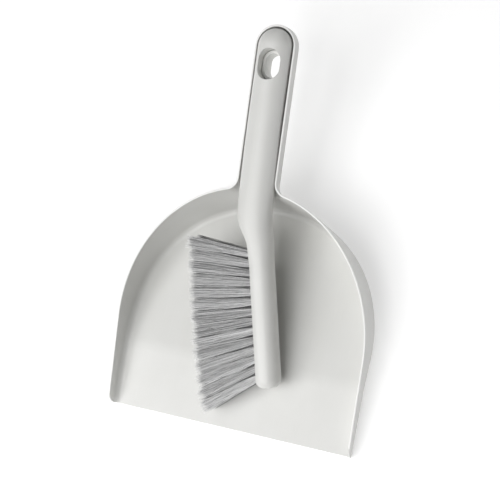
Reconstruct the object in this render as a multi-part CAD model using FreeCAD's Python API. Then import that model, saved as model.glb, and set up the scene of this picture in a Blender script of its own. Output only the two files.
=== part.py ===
import FreeCAD
import Part
import math
import os
from FreeCAD import Placement, Rotation, Vector

# Dustpan with a hand brush that nests in its handle.
# Everything is drawn in the pan's moulding frame and then stood on the ground:
#   X runs across the pan, Y from the lip to the handle end, Z up out of the pan,
#   and the flat rim of the pan is the plane Z = 0.

# ---------------------------------------------------------------- driving sizes, mm
wall = 1.8                  # wall of the pan moulding

# pan
pan_half_width = 115.0      # at the rim, where the arch starts
side_taper = 1.1            # how much nearer the middle each side is at the lip
side_length = 82.5          # straight sides, from the lip to the arch
arch_depth = 126.2          # from the end of the straight sides to the back
lip_depth = 14.6            # rim to underside at the lip
ramp_slope = 0.10           # fall of the front ramp, per mm back from the lip
crest_y = 56.5              # where the ramp turns into the rear floor
rear_slope = 0.27           # fall of the rear floor
crest_radius = 60.0         # softening of the crest
side_draft = 0.02           # how far the sides lean in, per mm of depth
back_draft = 0.277          # how far the back leans in
floor_fillet = 7.0          # outside radius between walls and floor
lip_thickness = 0.9         # edge of the lip
lip_bevel = 12.0            # length of the bevel under the lip
front_corner_radius = 13.0  # rounded front corners of the side walls
rim_round = 0.6             # rounding of the rim's edges

# trough that forms the pan's handle
trough_half_width = 18.3
trough_length = 136.5       # from the back of the arch to the end of the handle
trough_depth = 15.0
trough_fillet = 8.0
neck_radius = 10.0          # outside radius where the trough leaves the arch
hook_from_end = 34.2        # end of the handle to the middle of the hanging hole
hook_hole_radius = 6.9
hook_straight = 6.6         # straight length of the hole and of the slot
collar_wall = 2.4
collar_top = -1.2           # top of the collar, below the rim

# standing on the ground
heel_land_depth = 0.3       # flat land worn off the heel by the ground plane

# brush body
side_gap = 1.6              # beside the handle, in the trough
seat_gap = 0.3              # under the handle, in the trough
slot_gap = 0.5              # collar to slot
brush_offset = 0.15         # the brush lies a little off the pan's middle
handle_crown = 11.0         # top of the handle above the rim
block_angle = 12.1          # bend between the handle and the block, degrees
tuft_line_x = 6.2           # a point of the tuft face, from the handle's middle
tuft_line_back = 60.7       # and in front of the back of the arch
block_width = 18.3          # tuft face to the back of the block
block_power = 2.3           # squareness of the block's rounded section
block_start = 4.0           # where the block runs straight, along the tuft face
block_end_margin = 8.8      # last column to the end of the block
block_end_radius = 7.5
tuft_overhang = 2.5         # how much of the section the tuft face cuts away
shoulder_back = 22.5        # where the shoulder's slope leaves the handle's side
shoulder_angle = 37.0
shoulder_radius = 20.0
straight_handle = 53.0      # the handle is straight behind this, from the back of the arch
# the bend from there to the block: place from the back of the arch, how far the left and right
# sides have moved to the right, share of the block's angle
bend_stations = [
    (34.0, 0.1, 0.5, 0.02),
    (7.5, 0.6, 1.1, 0.08),
    (-9.5, 1.1, 1.9, 0.16),
    (-20.5, 1.9, 2.7, 0.35),
    (-32.5, 4.8, 4.2, 0.62),
    (-45.5, 11.5, 7.1, 0.88),
]
bend_step = 6.0             # spacing of the sections that shape the bend

# bristles
column_count = 14
column_pitch = 8.0
first_column = -5.3         # along the tuft face from its named point
row_pitch = 5.2
fan_first = 15.1            # lean of the first and last columns from square, degrees
fan_last = -24.6
bristle_length = 56.3       # free length
bristle_floor_gap = 0.8     # lowest bristles to the floor at the lip, where it is highest
tuft_root_radius = 2.5
tuft_tip_radius = 4.0
tuft_hole_depth = 10.0
tuft_hole_gap = 0.05
anchor_width = 1.6
anchor_thickness = 0.35
anchor_lift = 1.1           # bristles folded under the anchor
anchor_bite = 0.25          # how far an anchor cuts into the block each side

OUT = 400.0                 # reach of cutting blocks, beyond the object
ABOVE = 6.0                 # how far the cavity runs past the rim and the lip

# ---------------------------------------------------------------- sizes that follow
back_y = side_length + arch_depth
trough_end = back_y + trough_length
hook_y = trough_end - hook_from_end
under_handle = -trough_depth + wall + seat_gap
middle_z = (handle_crown + under_handle) / 2
half_height = (handle_crown - under_handle) / 2
handle_half_width = trough_half_width - wall - side_gap
block_end = first_column + (column_count - 1) * column_pitch + block_end_margin
tuft_point = Vector(brush_offset + tuft_line_x, back_y - tuft_line_back, middle_z)
down = Vector(math.sin(math.radians(block_angle)), -math.cos(math.radians(block_angle)), 0)
out = Vector(down.y, -down.x, 0)        # square out of the tuft face


# ---------------------------------------------------------------- helpers
def rounded_path(points, radii):
    """Edges through the points, with a tangent arc at each inner point."""
    edges = []
    start = points[0]
    for before, corner, after, radius in zip(points, points[1:], points[2:], radii):
        a = (before - corner).normalize()
        b = (after - corner).normalize()
        half = a.getAngle(b) / 2
        reach = radius / math.tan(half)
        middle = corner + (a + b).normalize() * (radius / math.sin(half) - radius)
        first = corner + a * reach
        last = corner + b * reach
        edges.append(Part.LineSegment(start, first).toShape())
        edges.append(Part.Arc(first, middle, last).toShape())
        start = last
    edges.append(Part.LineSegment(start, points[-1]).toShape())
    return edges


def stretched(curve, centre, axis, factor):
    """The curve made longer or shorter along one axis (0 X, 1 Y, 2 Z), away from centre."""
    for i, pole in enumerate(curve.getPoles()):
        pole[axis] = centre[axis] + (pole[axis] - centre[axis]) * factor
        curve.setPole(i + 1, pole)
    return curve


def crossing(p, along_p, q, along_q):
    """Where two lines in the XY plane cross."""
    gap = q - p
    reach = (gap.x * along_q.y - gap.y * along_q.x) / (along_p.x * along_q.y - along_p.y * along_q.x)
    return p + along_p * reach


def elliptic_arc(centre, across, along):
    """Half ellipse from +X over +Y to -X."""
    circle = Part.Circle(centre, Vector(0, 0, 1), across)
    return stretched(Part.ArcOfCircle(circle, 0, math.pi).toBSpline(), centre, 1, along / across).toShape()


def stadium(radius, x, low, high):
    """Upright prism with the outline of the hanging hole, long along Y, at that radius."""
    tall = high - low
    corner = Vector(x - radius, hook_y - hook_straight / 2, low)
    middle = Part.makeBox(2 * radius, hook_straight, tall, corner)
    ends = [Part.makeCylinder(radius, tall, Vector(x, hook_y + side * hook_straight / 2, low))
            for side in (-1, 1)]
    return middle.fuse(ends).removeSplitter()


def tub_outline(z, inset, front):
    """Plan of the tub at height z, moved in by inset."""
    lean = side_draft * -z
    half_back = pan_half_width - lean - inset
    half_front = half_back - side_taper * (side_length - front) / side_length
    arch = arch_depth - back_draft * -z - inset
    p1 = Vector(-half_front, front, z)
    p2 = Vector(half_front, front, z)
    p3 = Vector(half_back, side_length, z)
    p4 = Vector(-half_back, side_length, z)
    return Part.Wire([
        Part.LineSegment(p1, p2).toShape(),
        Part.LineSegment(p2, p3).toShape(),
        elliptic_arc(Vector(0, side_length, z), half_back, arch),
        Part.LineSegment(p4, p1).toShape(),
    ])


def floor_depth(y, inset):
    """Depths of the ramp's line and of the rear floor's line below the rim, moved up by inset."""
    ramp = lip_depth + ramp_slope * y - inset * math.hypot(1, ramp_slope)
    rear = lip_depth + ramp_slope * crest_y + rear_slope * (y - crest_y)
    rear -= inset * math.hypot(1, rear_slope)
    return ramp, rear


def floor_prism(inset, front):
    """Everything above the floor, as a prism across the pan."""
    ramp_0, rear_0 = floor_depth(0, inset)
    crest = (ramp_0 - rear_0) / (rear_slope - ramp_slope)
    points = [
        Vector(-OUT, front, -floor_depth(front, inset)[0]),
        Vector(-OUT, crest, -floor_depth(crest, inset)[0]),
        Vector(-OUT, back_y, -floor_depth(back_y, inset)[1]),
    ]
    edges = rounded_path(points, [crest_radius - inset])
    corners = [points[-1], Vector(-OUT, back_y, ABOVE * 2), Vector(-OUT, front, ABOVE * 2), points[0]]
    for a, b in zip(corners, corners[1:]):
        edges.append(Part.LineSegment(a, b).toShape())
    return Part.Face(Part.Wire(edges)).extrude(Vector(2 * OUT, 0, 0))


def tub_form(inset, top, front):
    bottom = -floor_depth(back_y, 0)[1] - ABOVE
    walls = Part.makeLoft([tub_outline(top, inset, front), tub_outline(bottom, inset, front)], True, True)
    form = walls.common(floor_prism(inset, front))
    # the edges that run along the foot of the walls, not those across the floor or up the walls
    edges = [e for e in form.Edges if e.BoundBox.ZMax < top - 1 and e.BoundBox.YLength > 0.01]
    return form.makeFillet(floor_fillet - inset, edges)


def trough_form(inset, top):
    radius = trough_half_width - inset
    centre_y = trough_end - trough_half_width
    start_y = back_y - back_draft * trough_depth - 3 * neck_radius
    low = -trough_depth + inset
    bar = Part.makeBox(2 * radius, centre_y - start_y, top - low, Vector(-radius, start_y, low))
    form = bar.fuse(Part.makeCylinder(radius, top - low, Vector(0, centre_y, low))).removeSplitter()
    edges = [e for e in form.Edges
             if abs(e.BoundBox.ZMax - low) < 0.01 and e.BoundBox.YMax > start_y + 0.01]
    return form.makeFillet(trough_fillet - inset, edges)


def pan_form(inset, top, front):
    """Solid form of the pan: the outside at inset 0, the cavity at inset wall."""
    tub = tub_form(inset, top, front)
    trough = trough_form(inset, top)
    form = tub.fuse(trough).removeSplitter()
    tub_skin = Part.Shell(tub.Faces)
    trough_skin = Part.Shell(trough.Faces)
    join = []
    for edge in form.Edges:
        middle = Part.Vertex(edge.valueAt((edge.FirstParameter + edge.LastParameter) / 2))
        if edge.BoundBox.ZMin > top - 0.01:
            continue
        if middle.distToShape(tub_skin)[0] < 0.001 and middle.distToShape(trough_skin)[0] < 0.001:
            join.append(edge)
    return form.makeFillet(neck_radius + inset, join)


# ---------------------------------------------------------------- the pan
def make_pan():
    outside = pan_form(0, 0, 0)
    cavity = pan_form(wall, ABOVE, -ABOVE)
    pan = outside.cut(cavity)

    # bevel under the lip
    full = -floor_depth(lip_bevel, 0)[0]
    edge = -floor_depth(0, wall)[0] - lip_thickness
    wedge = Part.Face(Part.makePolygon([
        Vector(-OUT, 0, edge), Vector(-OUT, lip_bevel, full), Vector(-OUT, lip_bevel, -OUT),
        Vector(-OUT, -ABOVE, -OUT), Vector(-OUT, -ABOVE, edge), Vector(-OUT, 0, edge)]))
    pan = pan.cut(wedge.extrude(Vector(2 * OUT, 0, 0)))

    # rounded front corners of the side walls
    corner = Part.makeBox(2 * OUT, 2 * front_corner_radius, 2 * front_corner_radius,
                          Vector(-OUT, -front_corner_radius, -front_corner_radius))
    round_bar = Part.makeCylinder(front_corner_radius, 2 * OUT,
                                  Vector(-OUT, front_corner_radius, -front_corner_radius), Vector(1, 0, 0))
    keep = Part.makeBox(2 * OUT, 2 * front_corner_radius, 3 * front_corner_radius,
                        Vector(-OUT, front_corner_radius, -front_corner_radius))
    pan = pan.cut(corner.cut(round_bar).cut(keep))

    # collar around the hanging hole, which the brush's slot drops over
    collar_radius = hook_hole_radius + collar_wall
    collar = stadium(collar_radius, 0, -trough_depth + wall / 2, collar_top)
    hole = stadium(hook_hole_radius, 0, -trough_depth - 1, collar_top + 1)
    pan = pan.fuse(collar).cut(hole).removeSplitter()

    # rounded rim
    rim = [e for e in pan.Edges if e.BoundBox.ZMin > -0.001]
    return pan.makeFillet(rim_round, rim)


# ---------------------------------------------------------------- the brush body
def section(centre, direction, half_across, power, inset=0):
    """Closed rounded section standing square to direction; power 2 is an ellipse, more is squarer.
    Its left half is the mirror image of its right half, so that half of it can be spun."""
    side = Vector(-direction.y, direction.x, 0)
    points = []
    count = 16
    for i in range(count + 1):
        angle = math.pi * i / count
        across = math.sin(angle) ** (2 / power) * (half_across - inset)
        height = math.copysign(abs(math.cos(angle)) ** (2 / power), math.cos(angle)) * (half_height - inset)
        points.append(centre + side * across + Vector(0, 0, height))
    half = Part.BSplineCurve()
    half.interpolate(points, InitialTangent=side, FinalTangent=-side)
    halves = [half.toShape(), half.toShape().mirror(centre, side)]
    return Part.Wire(halves)


def between(stations, place):
    """Values at a place between the stations, on a smooth curve through them."""
    for i in range(1, len(stations) - 2):
        if place >= stations[i + 1][0]:
            break
    before, here, there, after = stations[i - 1:i + 3]
    gap = there[0] - here[0]
    t = (place - here[0]) / gap
    values = []
    for a, b, c, d in zip(before[1:], here[1:], there[1:], after[1:]):
        leave = (c - a) / (there[0] - before[0]) * gap
        arrive = (d - b) / (after[0] - here[0]) * gap
        values.append(b + t * leave + t * t * (3 * (c - b) - 2 * leave - arrive)
                      + t ** 3 * (2 * (b - c) + leave + arrive))
    return values


def make_brush_body():
    end = Vector(brush_offset, trough_end - trough_half_width, middle_z)
    straight_end = Vector(brush_offset, back_y + straight_handle, middle_z)
    toward_block = Vector(0, -1, 0)
    face = Part.Face(section(end, toward_block, handle_half_width, 2))
    bar = face.extrude(straight_end - end)

    # rounded end of the handle: half of the same section, spun
    size = 2 * half_height + 2 * handle_half_width
    right_half = Part.makeBox(size, size, size, end - Vector(0, size / 2, size / 2))
    cap = face.common(right_half).revolve(end, Vector(0, 0, 1), 180)

    # the bend down to where the block runs straight
    half_block = (block_width + tuft_overhang) / 2
    start = tuft_point + down * block_start + out * (tuft_overhang - half_block)
    place = start.y - back_y
    aside = start.x - brush_offset
    narrower = handle_half_width - half_block
    along_block = math.tan(math.radians(block_angle)) * bend_step
    stations = [(straight_handle + bend_step, 0, 0, 0), (straight_handle, 0, 0, 0)] + bend_stations
    stations.append((place, aside + narrower, aside - narrower, 1))
    stations.append((place - bend_step, aside + narrower + along_block, aside - narrower + along_block, 1))
    count = round((straight_handle - place) / bend_step)
    sections = []
    for i in range(count):
        at = straight_handle + (place - straight_handle) * i / count
        left, right, share = between(stations, at)
        angle = math.radians(share * block_angle)
        direction = Vector(math.sin(angle), -math.cos(angle), 0)
        centre = Vector(brush_offset + (left + right) / 2, back_y + at, middle_z)
        power = 2 + (block_power - 2) * share
        sections.append(section(centre, direction, handle_half_width + (right - left) / 2, power))

    # the straight block and its rounded end
    straight = block_end - block_start - block_end_radius
    count = round(straight / bend_step)
    for i in range(count):
        sections.append(section(start + down * (straight * i / count), down, half_block, block_power))
    end_count = 6
    for i in range(end_count + 1):
        angle = math.pi / 2 * i / end_count
        foot = start + down * (straight + block_end_radius * math.sin(angle))
        inset = block_end_radius * (1 - math.cos(angle))
        sections.append(section(foot, down, half_block, block_power, inset))
    shaped = Part.makeLoft(sections, True, False, False, 8)
    body = bar.fuse([cap, shaped])

    # flat tuft face and the shoulder above it: all that lies outside them is cut away
    slant = math.radians(shoulder_angle)
    slant_down = Vector(math.sin(slant), -math.cos(slant), 0)
    clear = 2 * handle_half_width
    foot = tuft_point + down * (block_end + clear)
    foot.z = -OUT
    shoulder = Vector(brush_offset - handle_half_width, back_y - shoulder_back, -OUT)
    corner = crossing(shoulder, slant_down, foot, down)
    top = shoulder - slant_down * clear
    path = rounded_path([top, corner, foot], [shoulder_radius])
    outline = [foot, foot + out * clear, top + out * clear, top]
    for p, q in zip(outline, outline[1:]):
        path.append(Part.LineSegment(p, q).toShape())
    body = body.cut(Part.Face(Part.Wire(path)).extrude(Vector(0, 0, 2 * OUT)))

    # hanging slot, which drops over the pan's collar
    slot = stadium(hook_hole_radius + collar_wall + slot_gap, brush_offset, -OUT, OUT)
    body = body.cut(slot)

    # blind holes for the bristles, each with the bite of its anchor
    holes = [tuft_hole(place) for place in tuft_places()]
    anchors = [tuft_anchor(place) for place in tuft_places()]
    return body.cut(Part.makeCompound(holes)).cut(Part.makeCompound(anchors)).removeSplitter()


# ---------------------------------------------------------------- bristles
def tuft_places():
    """Row, number, root and direction of each tuft: the middle row is staggered."""
    # the outer rows lean out until the lower one just clears the floor
    spread = middle_z + floor_depth(0, wall)[0] - bristle_floor_gap - tuft_tip_radius
    row_lean = math.asin((spread - row_pitch) / bristle_length)
    places = []
    for row in (1, 0, -1):
        count = column_count if row else column_count - 1
        for i in range(count):
            column = i if row else i + 0.5
            root = tuft_point + down * (first_column + column * column_pitch) + Vector(0, 0, row * row_pitch)
            fan = math.radians(fan_first + (fan_last - fan_first) * column / (column_count - 1))
            lean = row * row_lean
            flat = out * math.cos(fan) - down * math.sin(fan)
            places.append((row, i + 1, root, flat * math.cos(lean) + Vector(0, 0, math.sin(lean))))
    return places


def tuft_hole(place):
    row, number, root, direction = place
    return Part.makeCylinder(tuft_root_radius + tuft_hole_gap, tuft_hole_depth + 2 * tuft_root_radius,
                             root - direction * tuft_hole_depth, direction)


def tuft_anchor(place):
    """Metal plate across the bottom of the hole, which holds the folded bristles."""
    row, number, root, direction = place
    reach = tuft_root_radius + tuft_hole_gap + anchor_bite
    plate = Part.makeBox(2 * reach, anchor_thickness, anchor_width,
                         Vector(-reach, -anchor_thickness / 2, 0))
    up = Vector(0, 0, 1)
    turn = Rotation(up, Vector(), direction, "XZY")
    plate.Placement = Placement(root - direction * (tuft_hole_depth - anchor_lift), turn)
    return plate


def tuft(place):
    row, number, root, direction = place
    low = root - direction * (tuft_hole_depth - tuft_hole_gap)
    stem = Part.makeCylinder(tuft_root_radius, tuft_hole_depth - tuft_hole_gap, low, direction)
    brush = Part.makeCone(tuft_root_radius, tuft_tip_radius, bristle_length, root, direction)
    return stem.fuse(brush).cut(tuft_anchor(place))


# ---------------------------------------------------------------- standing on the ground
def stand_placement():
    """Tips the pan until its lip and the land on its heel are both on the ground."""
    lip_edge = floor_depth(0, wall)[0] + lip_thickness
    # where the underside of the rear floor would meet the back wall, then back by the fillet
    floor_at_zero = floor_depth(0, 0)[1]
    heel_y = (back_y - back_draft * floor_at_zero) / (1 + back_draft * rear_slope)
    heel_y -= floor_fillet * math.cos(math.atan(rear_slope))
    heel = floor_depth(heel_y, 0)[1] - heel_land_depth
    turn = Rotation(Vector(1, 0, 0), math.degrees(math.atan2(heel - lip_edge, heel_y)))
    lift = turn.multVec(Vector(0, 0, -lip_edge)).z
    return Placement(Vector(0, 0, -lift), turn)


def main():
    os.makedirs("parts", exist_ok=True)
    parts = {"pan": make_pan(), "brush_body": make_brush_body()}
    row_names = {1: "upper", 0: "middle", -1: "lower"}
    for place in tuft_places():
        parts["tuft_%s_%02d" % (row_names[place[0]], place[1])] = tuft(place)
    for row, name in row_names.items():
        plates = [tuft_anchor(place) for place in tuft_places() if place[0] == row]
        parts["tuft_anchors_%s" % name] = Part.makeCompound(plates)

    # stand it up, trim the heel to the ground and move the middle of its footprint to the origin
    stand = stand_placement()
    for shape in parts.values():
        shape.Placement = stand.multiply(shape.Placement)
    ground = Part.makeBox(2 * OUT, 2 * OUT, OUT, Vector(-OUT, -OUT, -OUT))
    parts["pan"] = parts["pan"].cut(ground)
    box = Part.makeCompound(list(parts.values())).optimalBoundingBox(False, False)
    middle = Vector(0, (box.YMin + box.YMax) / 2, 0)
    for name, shape in parts.items():
        shape.translate(-middle)
        shape.exportStep("parts/%s.step" % name)


main()
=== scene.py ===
import math
import random

import bpy
from mathutils import Euler, Matrix, Vector


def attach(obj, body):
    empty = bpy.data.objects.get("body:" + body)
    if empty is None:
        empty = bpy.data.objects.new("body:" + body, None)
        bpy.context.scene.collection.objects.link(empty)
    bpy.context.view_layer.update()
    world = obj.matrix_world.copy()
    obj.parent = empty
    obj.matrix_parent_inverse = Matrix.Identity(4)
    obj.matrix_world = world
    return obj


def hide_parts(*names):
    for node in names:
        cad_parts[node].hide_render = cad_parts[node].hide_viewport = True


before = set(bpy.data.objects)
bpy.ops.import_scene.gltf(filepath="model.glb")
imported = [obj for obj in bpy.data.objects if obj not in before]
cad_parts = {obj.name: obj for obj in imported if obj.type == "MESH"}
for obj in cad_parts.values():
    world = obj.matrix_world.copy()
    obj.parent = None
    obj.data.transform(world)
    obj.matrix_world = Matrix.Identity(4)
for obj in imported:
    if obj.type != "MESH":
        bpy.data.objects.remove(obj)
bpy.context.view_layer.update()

# Dustpan with a hand brush in its handle. Metres; +Y runs from the lip to the end of the handle.

# how the pan stands: its rim is a plane that rises towards the handle
RIM_TILT = math.radians(12.498578)
RIM_HEIGHT = 0.049973       # the rim plane's distance from the origin, square to itself
RIM_UP = Vector((0, -math.sin(RIM_TILT), math.cos(RIM_TILT)))
# the pale band along the rim's edge, a painted highlight where the rim top catches the light,
# partly edge wear:
# where it starts and ends above the rim plane, and how quickly it comes and goes
RIM_HIGHLIGHT_FROM = -0.0007
RIM_HIGHLIGHT_TO = 0.0010
RIM_HIGHLIGHT_FADES = (0.0004, 0.0003)

# one bristle
BRISTLE_THICKNESS = 0.00034
BRISTLE_LENGTH = 0.0563     # free length
BRISTLE_INSIDE = 0.0072     # length inside the hole, down to the anchor
HOLE_DEPTH = 0.00995
SIDES = 5
WAVE = 0.00042              # how far a bristle strays from straight at each run
# runs along a bristle: length, how much of the flare is taken there, waviness
RUNS = (
    (BRISTLE_INSIDE, 0.0, 0.0),
    (0.0025, 0.45, 0.1),
    (0.0055, 0.40, 0.3),
    (0.015, 0.15, 1.0),
    (0.017, 0.0, 1.0),
    (0.0145, 0.0, 0.8),
)
# the two hairs that its end splits into: how far they lean, share of the end's length, taper
HAIR_LEAN = (0.0003, 0.0009)
HAIR_LENGTH = (0.6, 1.0)
HAIR_TAPER = 0.45

# a tuft of them
BRISTLES_IN_TUFT = 124
ROOT_RADIUS = 0.0024
FLARE = 0.0007              # how far the outermost bristles spring out as they leave the hole
SPREAD_ALONG = 0.0042       # half width of a tuft at its tips, along its row
SPREAD_ACROSS = 0.0031      # the same, square to its row
GOLDEN_ANGLE = 2.39996      # turn from one bristle to the next, which spaces them evenly
ANGLE_JITTER = 0.2
ZONE_EDGES = (0.55, 0.82)   # the flare grows in steps: inner, middle and outer bristles
SHAPES_PER_ZONE = 6
STRAY_CHANCE = 0.04
STRAY_REACH = 2.4
# strands to a tuft's radius, along and square to its row
STRANDS_ALONG = 2.1
STRANDS_ACROSS = 1.6
# how much the tufts, the strands in a tuft and the bristles in a strand differ: aside and above
# at their tips, share of the length, tone
TUFT_SPREADS = (0.0005, 0.0002, 0.006, 0.03)
STRAND_SPREADS = (0.0009, 0.0003, 0.012, 0.13)
SINGLE_SPREADS = (0.00035, 0.00025, 0.006, 0.16)
MEAN_TONE = 0.66
DEEP_ROW_PAINTED_SHADE = -0.45       # the rows below the top one are darker: painted shade for the shade that falls between the tufts
END_DISC = 0.0012           # depth of the slice that finds the middle of a tuft's end

# colours
PLASTIC_GREY = (0.735, 0.735, 0.715)
RIM_HIGHLIGHT_PALE = (0.92, 0.92, 0.905, 1.0)
BRISTLE_DARK = (0.17, 0.17, 0.172, 1)
BRISTLE_PALE = (0.86, 0.86, 0.86, 1)
SPLIT_END = (0.96, 0.96, 0.95, 1)
WIRE_DULL = (0.42, 0.43, 0.44, 1)
WIRE_BRIGHT = (0.66, 0.66, 0.67, 1)
PAPER_DULL = (0.86, 0.86, 0.86, 1)
PAPER_BRIGHT = (0.88, 0.88, 0.88, 1)
WHITE = (1, 1, 1, 1)

# studio
FLOOR_SIZE = 6
CAMERA_PLACE = (0.37935, -0.147365, 0.92616)
CAMERA_TURN = (12.80318, 20.89643, 13.56839)    # degrees
CAMERA_LENS = 82.725                            # millimetres
SOFT_BOX_SIZE = (0.7, 0.7)
SOFT_BOX_DISTANCE = 1.3
# soft boxes on a dome: azimuth from +X and elevation in degrees, watts
SOFT_BOXES = (
    ("key_front_left", 225, 45, 6.73),
    ("front_high", 270, 70, 4.4),
    ("front", 270, 45, 4.2),
    ("left_high", 180, 70, 2.54),
    ("right_low", 0, 20, 1.7),
    ("back_low", 90, 20, 2.4),
    ("back", 90, 45, 0.52),
)


# ---------------------------------------------------------------- shader expressions
def fill(socket, value):
    """Wires a value into a socket, or sets a constant on it."""
    if isinstance(value, Wire):
        value.tree.links.new(value.socket, socket)
    else:
        socket.default_value = value


class Wire:
    """An output of a node; arithmetic on it adds Math nodes."""

    def __init__(self, tree, socket=None):
        self.tree = tree
        self.socket = socket

    def node(self, kind, settings, inputs, output=None):
        """A new node: its settings, then what its sockets hold or are wired to.

        The wire that comes back is the named output, or the first one in use."""
        made = self.tree.nodes.new(kind)
        for name, value in settings.items():
            setattr(made, name, value)
        for name, value in inputs.items():
            fill(next(s for s in made.inputs if s.name == name and s.enabled), value)
        if output:
            return Wire(self.tree, made.outputs[output])
        return Wire(self.tree, next(s for s in made.outputs if s.enabled))

    def math(self, operation, a, b):
        made = self.tree.nodes.new("ShaderNodeMath")
        made.operation = operation
        for socket, value in zip(made.inputs, (a, b)):
            fill(socket, value)
        return Wire(self.tree, made.outputs[0])

    def __add__(self, other):
        return self.math("ADD", self, other)

    __radd__ = __add__

    def __sub__(self, other):
        return self.math("SUBTRACT", self, other)

    def __rsub__(self, other):
        return self.math("SUBTRACT", other, self)

    def __mul__(self, other):
        return self.math("MULTIPLY", self, other)

    __rmul__ = __mul__


def new_material(name):
    """Material with a wire to start expressions from, and its shader."""
    material = bpy.data.materials.new(name)
    material.use_nodes = True
    shader = material.node_tree.nodes["Principled BSDF"]
    return material, Wire(material.node_tree), shader


def plug(shader, name, value):
    """Wires a value, or sets a constant, on one of the shader's own sockets."""
    fill(shader.inputs[name], value)


def place_coordinate(start):
    return start.node("ShaderNodeTexCoord", {}, {}, "Object")


def attribute(start, name):
    return start.node("ShaderNodeAttribute", {"attribute_name": name}, {}, "Fac")


def noise(start, vector, scale, detail):
    return start.node("ShaderNodeTexNoise", {}, {
        "Vector": vector, "Scale": scale, "Detail": detail})


def stretched_noise(start, vector, stretch, detail):
    """Noise drawn out into streaks: stretch is the scale along each axis."""
    mapped = start.node("ShaderNodeMapping", {}, {"Vector": vector, "Scale": stretch})
    return noise(start, mapped, scale=1.0, detail=detail)


def ramp_up(start, value, low, high):
    """0 below low, 1 above high, smooth between."""
    return start.node("ShaderNodeMapRange", {"interpolation_type": "SMOOTHSTEP"}, {
        "Value": value, "From Min": low, "From Max": high})


def blend_colour(start, factor, a, b):
    return start.node("ShaderNodeMix", {"data_type": "RGBA"}, {"Factor": factor, "A": a, "B": b})


def height_along(start, vector, axis, offset):
    """Distance along a direction, less an offset."""
    dot = start.node(
        "ShaderNodeVectorMath", {"operation": "DOT_PRODUCT"}, {"Vector": vector}, "Value")
    dot.socket.node.inputs[1].default_value = axis
    return dot - offset


def bumped(start, height, strength, distance):
    return start.node("ShaderNodeBump", {}, {
        "Strength": strength, "Distance": distance, "Height": height}, "Normal")


def multiplied(colour, factors):
    """A colour times a factor on each channel, with its alpha."""
    return tuple(min(1.0, c * f) for c, f in zip(colour, factors)) + (1.0,)


# ---------------------------------------------------------------- finishes
def moulded_plastic(name, colour, grain_depth, scuffs, rim_highlight_and_wear):
    """Satin polypropylene: fine mould grain, faint flow marks, light scuffs, and a pale band
    painted along the rim's edge as a highlight, partly edge wear.
    """
    material, start, shader = new_material(name)
    place = place_coordinate(start)
    cloud = noise(start, place, scale=26.0, detail=3.0)
    flow = stretched_noise(start, place, stretch=(60.0, 14.0, 60.0), detail=2.0)
    grain = noise(start, place, scale=2600.0, detail=1.0)
    dimple = noise(start, place, scale=520.0, detail=2.0)
    patch = ramp_up(start, noise(start, place, scale=34.0, detail=2.0), low=0.46, high=0.66)
    streaks = stretched_noise(start, place, stretch=(1500.0, 42.0, 700.0), detail=2.0)
    fine_scratch = ramp_up(start, streaks, low=0.60, high=0.68) * patch * scuffs

    light = multiplied(colour, (1.018, 1.018, 1.018))
    shade = multiplied(colour, (0.978, 0.977, 0.971))
    worn = multiplied(colour, (1.05, 1.05, 1.05))
    tone = (cloud * 0.6 + flow * 0.4 - 0.32) * 2.8
    tinted = blend_colour(start, tone, shade, light)
    tinted = blend_colour(start, fine_scratch * 0.5, tinted, worn)
    # the rim's edge is painted pale: a painted highlight where the rim top catches the light,
    # partly edge wear from handling and knocks
    fade_in, fade_out = RIM_HIGHLIGHT_FADES
    above = height_along(start, place, RIM_UP, RIM_HEIGHT + RIM_HIGHLIGHT_FROM)
    below = height_along(start, place, RIM_UP, RIM_HEIGHT + RIM_HIGHLIGHT_TO)
    # painted highlight: the rim band is mixed towards a pale colour
    rim = ramp_up(start, above, 0.0, fade_in) * (1 - ramp_up(start, below, 0.0, fade_out))
    rim = rim * rim_highlight_and_wear * (0.75 + cloud * 0.5)
    plug(shader, "Base Color", blend_colour(start, rim, tinted, RIM_HIGHLIGHT_PALE))
    plug(shader, "Roughness", 0.29 + cloud * 0.07 + dimple * 0.05 + fine_scratch * 0.18)
    plug(shader, "IOR", 1.49)
    plug(shader, "Specular IOR Level", 0.5)
    relief = (grain * grain_depth + dimple * (grain_depth * 1.4)
              - fine_scratch * (grain_depth * 1.2))
    plug(shader, "Normal", bumped(start, relief, strength=1.0, distance=0.0001))
    return material


def bristle_finish():
    """Grey filament: each one a little different, paler and duller where the end is split."""
    material, start, shader = new_material("bristle_filament")
    tone = attribute(start, "tone")
    reach = attribute(start, "reach")
    place = place_coordinate(start)
    dust = noise(start, place, scale=420.0, detail=2.0)
    grain = noise(start, place, scale=2400.0, detail=1.0)
    body = blend_colour(start, tone + (dust - 0.5) * 0.3, BRISTLE_DARK, BRISTLE_PALE)
    tip = ramp_up(start, reach + (dust - 0.5) * 0.06, low=0.92, high=0.97)
    plug(shader, "Base Color", blend_colour(start, tip * 0.85, body, SPLIT_END))
    plug(shader, "Roughness", 0.42 + dust * 0.12 + tip * 0.15)
    plug(shader, "IOR", 1.5)
    plug(shader, "Normal", bumped(start, grain, strength=0.4, distance=0.00003))
    return material


def galvanised_wire():
    material, start, shader = new_material("galvanised_wire")
    place = place_coordinate(start)
    spangle = noise(start, place, scale=900.0, detail=3.0)
    drawn = stretched_noise(start, place, stretch=(2200.0, 2200.0, 160.0), detail=2.0)
    plug(shader, "Base Color", blend_colour(start, spangle, WIRE_DULL, WIRE_BRIGHT))
    plug(shader, "Metallic", 1.0)
    plug(shader, "Roughness", 0.3 + spangle * 0.2 + drawn * 0.1)
    plug(shader, "Normal", bumped(start, drawn, strength=0.5, distance=0.00004))
    return material


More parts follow.
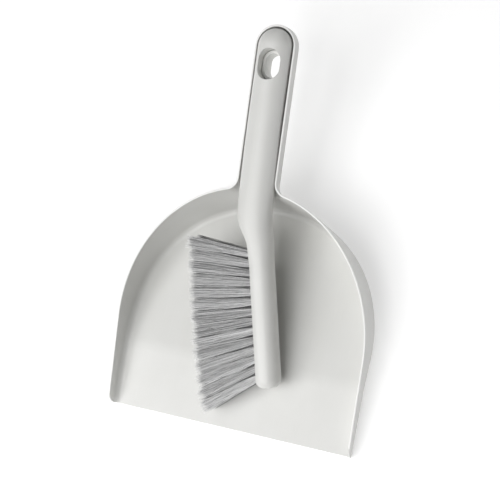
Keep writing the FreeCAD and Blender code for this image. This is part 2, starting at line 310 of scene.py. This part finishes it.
def paper_sweep():
    """White paper that glows a little, so that the ground stays white around the shadow."""
    material, start, shader = new_material("paper_sweep")
    fibre = noise(start, place_coordinate(start), scale=240.0, detail=3.0)
    plug(shader, "Base Color", blend_colour(start, fibre, PAPER_DULL, PAPER_BRIGHT))
    plug(shader, "Roughness", 0.9)
    plug(shader, "Emission Color", WHITE)
    plug(shader, "Emission Strength", 0.37)
    return material


def wear(piece, finish):
    piece.data.materials.clear()
    piece.data.materials.append(finish)


# ---------------------------------------------------------------- bristles
def deselect_all():
    bpy.ops.object.select_all(action="DESELECT")


def select_faces(mesh_object, keep):
    """In edit mode, selects just the faces that keep() accepts by centre and normal."""
    bpy.ops.mesh.select_all(action="DESELECT")
    bpy.ops.object.mode_set(mode="OBJECT")
    for polygon in mesh_object.data.polygons:
        polygon.select = keep(polygon.center, polygon.normal)
    bpy.ops.object.mode_set(mode="EDIT")


def split_end(filament, across, random_source):
    """In edit mode, splits a bristle's end into two finer hairs, one on each side of the cut."""
    top = BRISTLE_INSIDE + sum(run for run, share, waviness in RUNS[1:])
    bpy.ops.object.mode_set(mode="OBJECT")
    end = max(filament.data.polygons, key=lambda polygon: polygon.center.z).center.copy()
    bpy.ops.object.mode_set(mode="EDIT")
    bpy.ops.mesh.bisect(plane_co=end, plane_no=across)
    hair = BRISTLE_INSIDE + BRISTLE_LENGTH - top
    for side in (-1, 1):
        select_faces(filament, lambda centre, normal: (
            centre.z > top - 1e-6 and (centre - end).dot(across) * side > 0 and normal.z > 0.5))
        lean = across * side * random_source.uniform(*HAIR_LEAN)
        bpy.ops.mesh.extrude_region_move(TRANSFORM_OT_translate={
            "value": (lean.x, lean.y, hair * random_source.uniform(*HAIR_LENGTH))})
        bpy.ops.transform.resize(value=(HAIR_TAPER, HAIR_TAPER, 1.0))


def model_filament(number, flare, random_source):
    """One bristle standing on the origin, up Z, springing out along X by the flare."""
    deselect_all()
    bpy.ops.mesh.primitive_circle_add(
        vertices=SIDES, radius=BRISTLE_THICKNESS / 2, fill_type="NGON", location=(0, 0, 0))
    filament = bpy.context.object
    filament.name = "filament_%d" % number
    bpy.ops.object.mode_set(mode="EDIT")
    bpy.ops.mesh.select_mode(type="FACE")
    bpy.ops.mesh.select_all(action="SELECT")
    for run, share, waviness in RUNS:
        aside = flare * share + random_source.gauss(0, 1) * WAVE * waviness
        sideways = random_source.gauss(0, 1) * WAVE * waviness
        bpy.ops.mesh.extrude_region_move(
            TRANSFORM_OT_translate={"value": (aside, sideways, run)})
    split_end(filament, Vector((math.cos(number), math.sin(number), 0)), random_source)
    bpy.ops.mesh.select_all(action="SELECT")
    bpy.ops.mesh.normals_make_consistent(inside=False)
    bpy.ops.object.mode_set(mode="OBJECT")
    bpy.ops.object.shade_smooth()
    reach = filament.data.attributes.new("reach", "FLOAT", "POINT")
    heights = [v.co.z for v in filament.data.vertices]
    reach.data.foreach_set("value", [h / max(heights) for h in heights])
    filament.data.attributes.new("tone", "FLOAT", "POINT")
    filament.users_collection[0].objects.unlink(filament)
    return filament


def tuft_axis(node):
    """Deep end and tip of a tuft's solid, from its mesh: the tip is the wider end."""
    points = sorted({tuple(round(c, 7) for c in v.co) for v in node.data.vertices})
    points = [Vector(p) for p in points]
    one = max(points, key=lambda p: (p - points[0]).length)
    other = max(points, key=lambda p: (p - one).length)
    for _ in range(2):
        line = (other - one).normalized()
        ends = []
        for end, sign in ((one, 1), (other, -1)):
            disc = [p for p in points if (p - end).dot(line) * sign < END_DISC]
            centre = sum(disc, Vector()) / len(disc)
            ends.append((centre, max((p - centre).length for p in disc)))
        one, other = ends[0][0], ends[1][0]
    deep, tip = (centre for centre, radius in sorted(ends, key=lambda end: end[1]))
    return deep, tip


def in_axes(side, line, length):
    """Turns X to the side and Z to the line, times a length."""
    return Matrix((side, line.cross(side), line * length)).transposed().to_4x4()


def join_pieces(pieces):
    deselect_all()
    for piece in pieces:
        piece.select_set(True)
    bpy.context.view_layer.objects.active = pieces[0]
    bpy.ops.object.join()
    return bpy.context.view_layer.objects.active


def lay_tuft(node, along_row, filaments, finish, random_source):
    """All the bristles of one tuft, in one piece, in place of its solid."""
    deep, tip = tuft_axis(node)
    line = (tip - deep).normalized()
    root = deep + line * HOLE_DEPTH
    along = (along_row - line * along_row.dot(line)).normalized()
    across = line.cross(along)
    clump_aside, clump_above, trimmed, tuft_tone_and_shade = [
        random_source.gauss(0, spread) for spread in TUFT_SPREADS]
    # painted shade: the tufts of the rows below the top one are darkened, as if shaded by the
    # top row
    tuft_tone_and_shade += 0.0 if "upper" in node.name else DEEP_ROW_PAINTED_SHADE
    aside_spread, above_spread, length_spread, tone_spread = SINGLE_SPREADS
    strands = {}
    pieces = []
    for i in range(BRISTLES_IN_TUFT):
        # where it stands in the tuft, as shares of the tuft's radius
        share = math.sqrt((i + 0.5) / BRISTLES_IN_TUFT)
        angle = i * GOLDEN_ANGLE + random_source.uniform(-ANGLE_JITTER, ANGLE_JITTER)
        a = share * math.cos(angle)
        b = share * math.sin(angle)
        outwards = along * a + across * b
        start = root + outwards * ROOT_RADIUS - line * BRISTLE_INSIDE
        # bristles that lie together keep together, as strands
        strand = (round(a * STRANDS_ALONG), round(b * STRANDS_ACROSS))
        if strand not in strands:
            strands[strand] = [random_source.gauss(0, spread) for spread in STRAND_SPREADS]
        strand_aside, strand_above, strand_length, strand_tone = strands[strand]
        stray = STRAY_REACH if random_source.random() < STRAY_CHANCE else 1.0
        aside = (a * (SPREAD_ALONG - FLARE) + clump_aside + strand_aside
                 + random_source.gauss(0, aside_spread) * stray)
        above = (b * (SPREAD_ACROSS - FLARE) + clump_above + strand_above
                 + random_source.gauss(0, above_spread))
        end = root + line * BRISTLE_LENGTH + along * aside + across * above
        direction = (end - start).normalized()
        # turned so that its flare is outwards
        side = (outwards - direction * outwards.dot(direction)).normalized()
        length = 1 + trimmed + strand_length + random_source.gauss(0, length_spread)
        zone = sum(share >= edge for edge in ZONE_EDGES)
        mesh = random_source.choice(filaments[zone]).data.copy()
        mesh.transform(Matrix.Translation(start) @ in_axes(side, direction, length))
        tone = random_source.gauss(MEAN_TONE, tone_spread) + tuft_tone_and_shade + strand_tone
        tone = min(1.0, max(0.0, tone))
        mesh.attributes["tone"].data.foreach_set("value", [tone] * len(mesh.vertices))
        piece = bpy.data.objects.new("bristle", mesh)
        bpy.context.scene.collection.objects.link(piece)
        pieces.append(piece)
    bundle = join_pieces(pieces)
    bundle.name = node.name.replace("tuft", "bristles")
    bundle.data.name = bundle.name
    wear(bundle, finish)
    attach(bundle, "brush")
    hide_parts(node.name)


def lay_bristles():
    random_source = random.Random(41)
    zones = len(ZONE_EDGES) + 1
    filaments = [
        [model_filament(zone * SHAPES_PER_ZONE + k, FLARE * zone / (zones - 1), random_source)
         for k in range(SHAPES_PER_ZONE)]
        for zone in range(zones)]
    finish = bristle_finish()
    names = sorted(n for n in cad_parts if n.startswith("tuft_") and "anchors" not in n)
    first = tuft_axis(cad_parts["tuft_upper_01"])[0]
    last = tuft_axis(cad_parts["tuft_upper_14"])[0]
    along_row = (last - first).normalized()
    for name in names:
        lay_tuft(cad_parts[name], along_row, filaments, finish, random_source)
    for shapes in filaments:
        for shape in shapes:
            bpy.data.objects.remove(shape)


# ---------------------------------------------------------------- studio
def add_soft_box(name, place, watts):
    """A square area light that faces the origin."""
    data = bpy.data.lights.new(name, "AREA")
    data.shape = "RECTANGLE"
    data.size, data.size_y = SOFT_BOX_SIZE
    data.energy = watts
    light = bpy.data.objects.new(name, data)
    light.location = place
    to_origin = Vector((0, 0, 0)) - place
    light.rotation_euler = to_origin.to_track_quat("-Z", "Y").to_euler()
    bpy.context.scene.collection.objects.link(light)


def set_floor():
    deselect_all()
    bpy.ops.mesh.primitive_plane_add(size=FLOOR_SIZE)
    floor = bpy.context.object
    floor.name = "studio_floor"
    wear(floor, paper_sweep())


def set_camera():
    data = bpy.data.cameras.new("camera")
    data.lens = CAMERA_LENS
    camera = bpy.data.objects.new("camera", data)
    camera.location = CAMERA_PLACE
    camera.rotation_euler = Euler([math.radians(a) for a in CAMERA_TURN], "XYZ")
    bpy.context.scene.collection.objects.link(camera)
    bpy.context.scene.camera = camera


def set_lights():
    world = bpy.data.worlds.new("studio_air")
    world.use_nodes = True
    background = world.node_tree.nodes["Background"]
    background.inputs["Color"].default_value = WHITE
    background.inputs["Strength"].default_value = 0.0
    bpy.context.scene.world = world
    for name, azimuth, elevation, watts in SOFT_BOXES:
        turn, climb = math.radians(azimuth), math.radians(elevation)
        place = Vector((
            math.cos(climb) * math.cos(turn), math.cos(climb) * math.sin(turn), math.sin(climb)))
        add_soft_box(name, place * SOFT_BOX_DISTANCE, watts)
    bpy.context.scene.view_settings.view_transform = "Standard"


def dress_cad_nodes():
    finishes = {
        "pan": moulded_plastic(
            "pan_plastic_finish", PLASTIC_GREY, grain_depth=0.30, scuffs=1.0, rim_highlight_and_wear=1.0),
        "brush_body": moulded_plastic(
            "brush_plastic_finish", PLASTIC_GREY, grain_depth=0.24, scuffs=0.5, rim_highlight_and_wear=0.0),
    }
    wire = galvanised_wire()
    for name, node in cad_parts.items():
        if name in finishes:
            wear(node, finishes[name])
        elif "anchors" in name:
            wear(node, wire)


# ---------------------------------------------------------------- the object
set_floor()
set_camera()
set_lights()
dress_cad_nodes()
lay_bristles()
